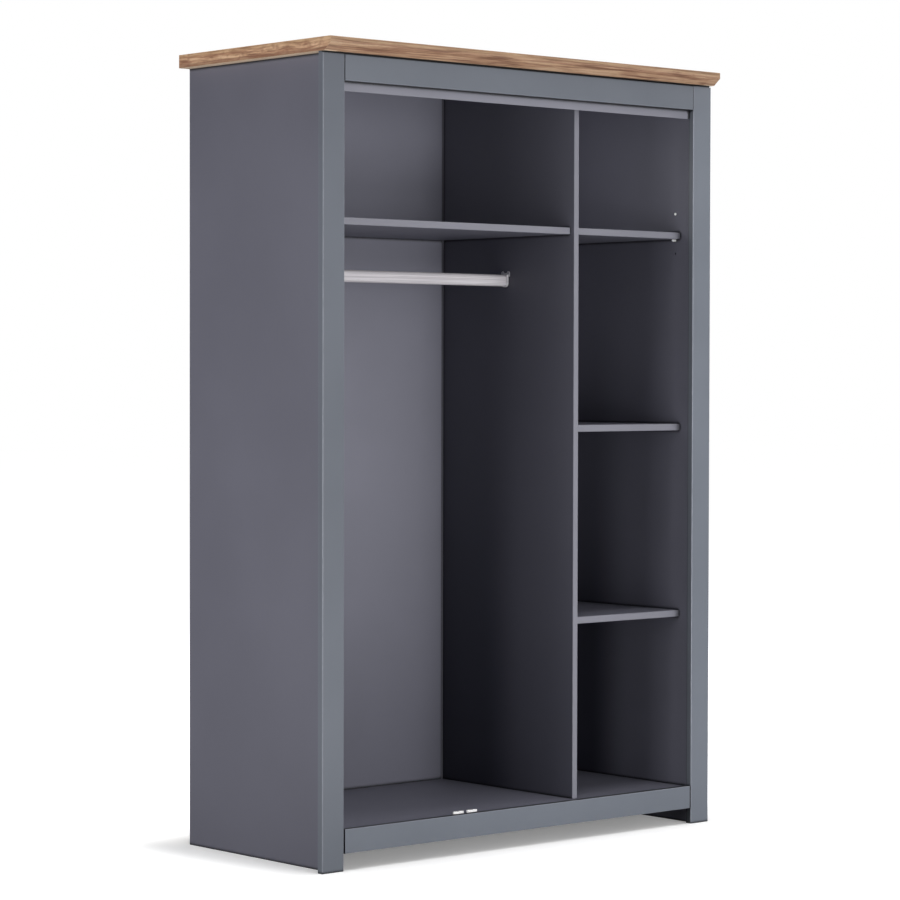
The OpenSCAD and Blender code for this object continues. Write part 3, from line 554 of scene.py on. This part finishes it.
def floor_paint():
    """Pale paint that, to the camera, brightens to the backdrop's white away from the wardrobe."""
    shader = Shader("floor_paint")
    shader.set(Base_Color=(FLOOR_BOUNCE,) * 3 + (1.0,), Roughness=0.9, Specular_IOR_Level=0.0)
    half_size = (cad_box[1] - cad_box[0]) / 2
    from_middle = shader.add("ShaderNodeVectorMath", {0: shader.place}, operation="ABSOLUTE").outputs[0]
    inputs = {0: from_middle, 1: (half_size.x, half_size.y, 1.0)}
    outside = shader.add("ShaderNodeVectorMath", inputs, operation="SUBTRACT").outputs[0]
    inputs = {0: outside, 1: (0.0, 0.0, 0.0)}
    outside = shader.add("ShaderNodeVectorMath", inputs, operation="MAXIMUM").outputs[0]
    distance = shader.add("ShaderNodeVectorMath", {0: outside}, operation="LENGTH").outputs["Value"]
    glow = shader.ramp(distance, 0.0, FLOOR_FADE, FLOOR_GLOW, 1.0)
    lit = shader.add("ShaderNodeBsdfDiffuse", {"Color": (0.95, 0.95, 0.95, 1.0)})
    shine = shader.add("ShaderNodeEmission", {"Strength": glow})
    seen = shader.add("ShaderNodeAddShader", {0: lit.outputs[0], 1: shine.outputs[0]})
    path = shader.add("ShaderNodeLightPath")
    inputs = {0: path.outputs["Is Camera Ray"], 1: shader.surface.outputs[0], 2: seen.outputs[0]}
    pick = shader.add("ShaderNodeMixShader", inputs)
    shader.feed(shader.tree.nodes["Material Output"].inputs["Surface"], pick.outputs[0])
    return shader.material


def make_floor():
    """A plain pale floor, wide enough to fill every view."""
    half = FLOOR_WIDTH / 2
    mesh = bpy.data.meshes.new("floor_sheet")
    corners = [(-half, -half, 0.0), (half, -half, 0.0), (half, half, 0.0), (-half, half, 0.0)]
    mesh.from_pydata(corners, [], [(0, 1, 2, 3)])
    mesh.materials.append(floor_paint())
    floor = bpy.data.objects.new("floor_sheet", mesh)
    bpy.context.scene.collection.objects.link(floor)


def make_world():
    """A backdrop that the camera sees as plain white, and that lights nothing."""
    world = bpy.data.worlds.new("studio")
    bpy.context.scene.world = world
    world.use_nodes = True
    tree = world.node_tree
    tree.nodes.clear()
    backdrop = tree.nodes.new("ShaderNodeBackground")
    backdrop.inputs["Color"].default_value = (1.0, 1.0, 1.0, 1.0)
    path = tree.nodes.new("ShaderNodeLightPath")
    output = tree.nodes.new("ShaderNodeOutputWorld")
    tree.links.new(path.outputs["Is Camera Ray"], backdrop.inputs["Strength"])
    tree.links.new(backdrop.outputs[0], output.inputs["Surface"])


def softbox(name, place, target, size, watts):
    """A square soft light at place that faces target."""
    data = bpy.data.lights.new(name, "AREA")
    data.shape = "SQUARE"
    data.size = size
    data.energy = watts
    light = bpy.data.objects.new(name, data)
    light.location = place
    light.rotation_euler = (Vector(target) - Vector(place)).to_track_quat("-Z", "Y").to_euler()
    light.visible_camera = False
    bpy.context.scene.collection.objects.link(light)


def studio_light(name, azimuth, height, distance, size, watts):
    """A softbox azimuth degrees to the right of the front, which faces the wardrobe's middle."""
    turn = math.radians(azimuth)
    place = (math.sin(turn) * distance, -math.cos(turn) * distance, height)
    softbox(name, place, (0.0, 0.0, AIM_HEIGHT), size, watts)


def bay_light(name, side_node, shelf_node, depth, watts):
    """A small fill over a shelf, just off the panel on its left, that faces across the bay."""
    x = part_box(side_node)[1].x + 0.01
    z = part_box(shelf_node)[1].z + BAY_LIGHT_RISE
    place = Vector((x, depth, z))
    softbox(name, place, place + Vector(RIGHTWARD), BAY_LIGHT_SIZE, watts)


def floor_light(name, x, y, size, watts):
    """A softbox that lies on the floor and faces up."""
    place = Vector((x, y, FLOOR_LIGHT_HEIGHT))
    softbox(name, place, place + Vector(ABOVE), size, watts)


make_floor()
make_world()
for name, setting in STUDIO_LIGHTS.items():
    studio_light(name, *setting)
floor_light("floor_front", 0.0, -1.7, 2.2, 7.0)
floor_light("floor_left", -2.0, 0.0, 1.6, 6.0)
bay_light("bay_right", "divider_panel", "shelf_upper", 0.02, 0.24)
bay_light("bay_left", "side_panel_left", "hat_shelf", -0.05, 0.38)

# ---------------------------------------------------------------- camera


def make_camera():
    """The camera of the photograph: to the left of the front, at about chest height."""
    place = Vector((-4.683, -5.326, 1.084))
    yaw = math.radians(41.21)
    pitch = math.radians(-1.44)
    roll = math.radians(0.12)
    forward = Vector((math.sin(yaw) * math.cos(pitch), math.cos(yaw) * math.cos(pitch), math.sin(pitch)))
    level_right = Vector((math.cos(yaw), -math.sin(yaw), 0.0))
    level_up = level_right.cross(forward)
    right = level_right * math.cos(roll) + level_up * math.sin(roll)
    up = level_up * math.cos(roll) - level_right * math.sin(roll)
    data = bpy.data.cameras.new("photo_view")
    data.sensor_width = 36.0
    data.lens = 120.69
    data.clip_end = 100.0
    camera = bpy.data.objects.new("photo_view", data)
    turn = Matrix((right, up, -forward)).transposed()
    camera.matrix_world = Matrix.Translation(place) @ turn.to_4x4()
    bpy.context.scene.collection.objects.link(camera)
    bpy.context.scene.camera = camera


make_camera()
bpy.context.scene.view_settings.view_transform = "Standard"
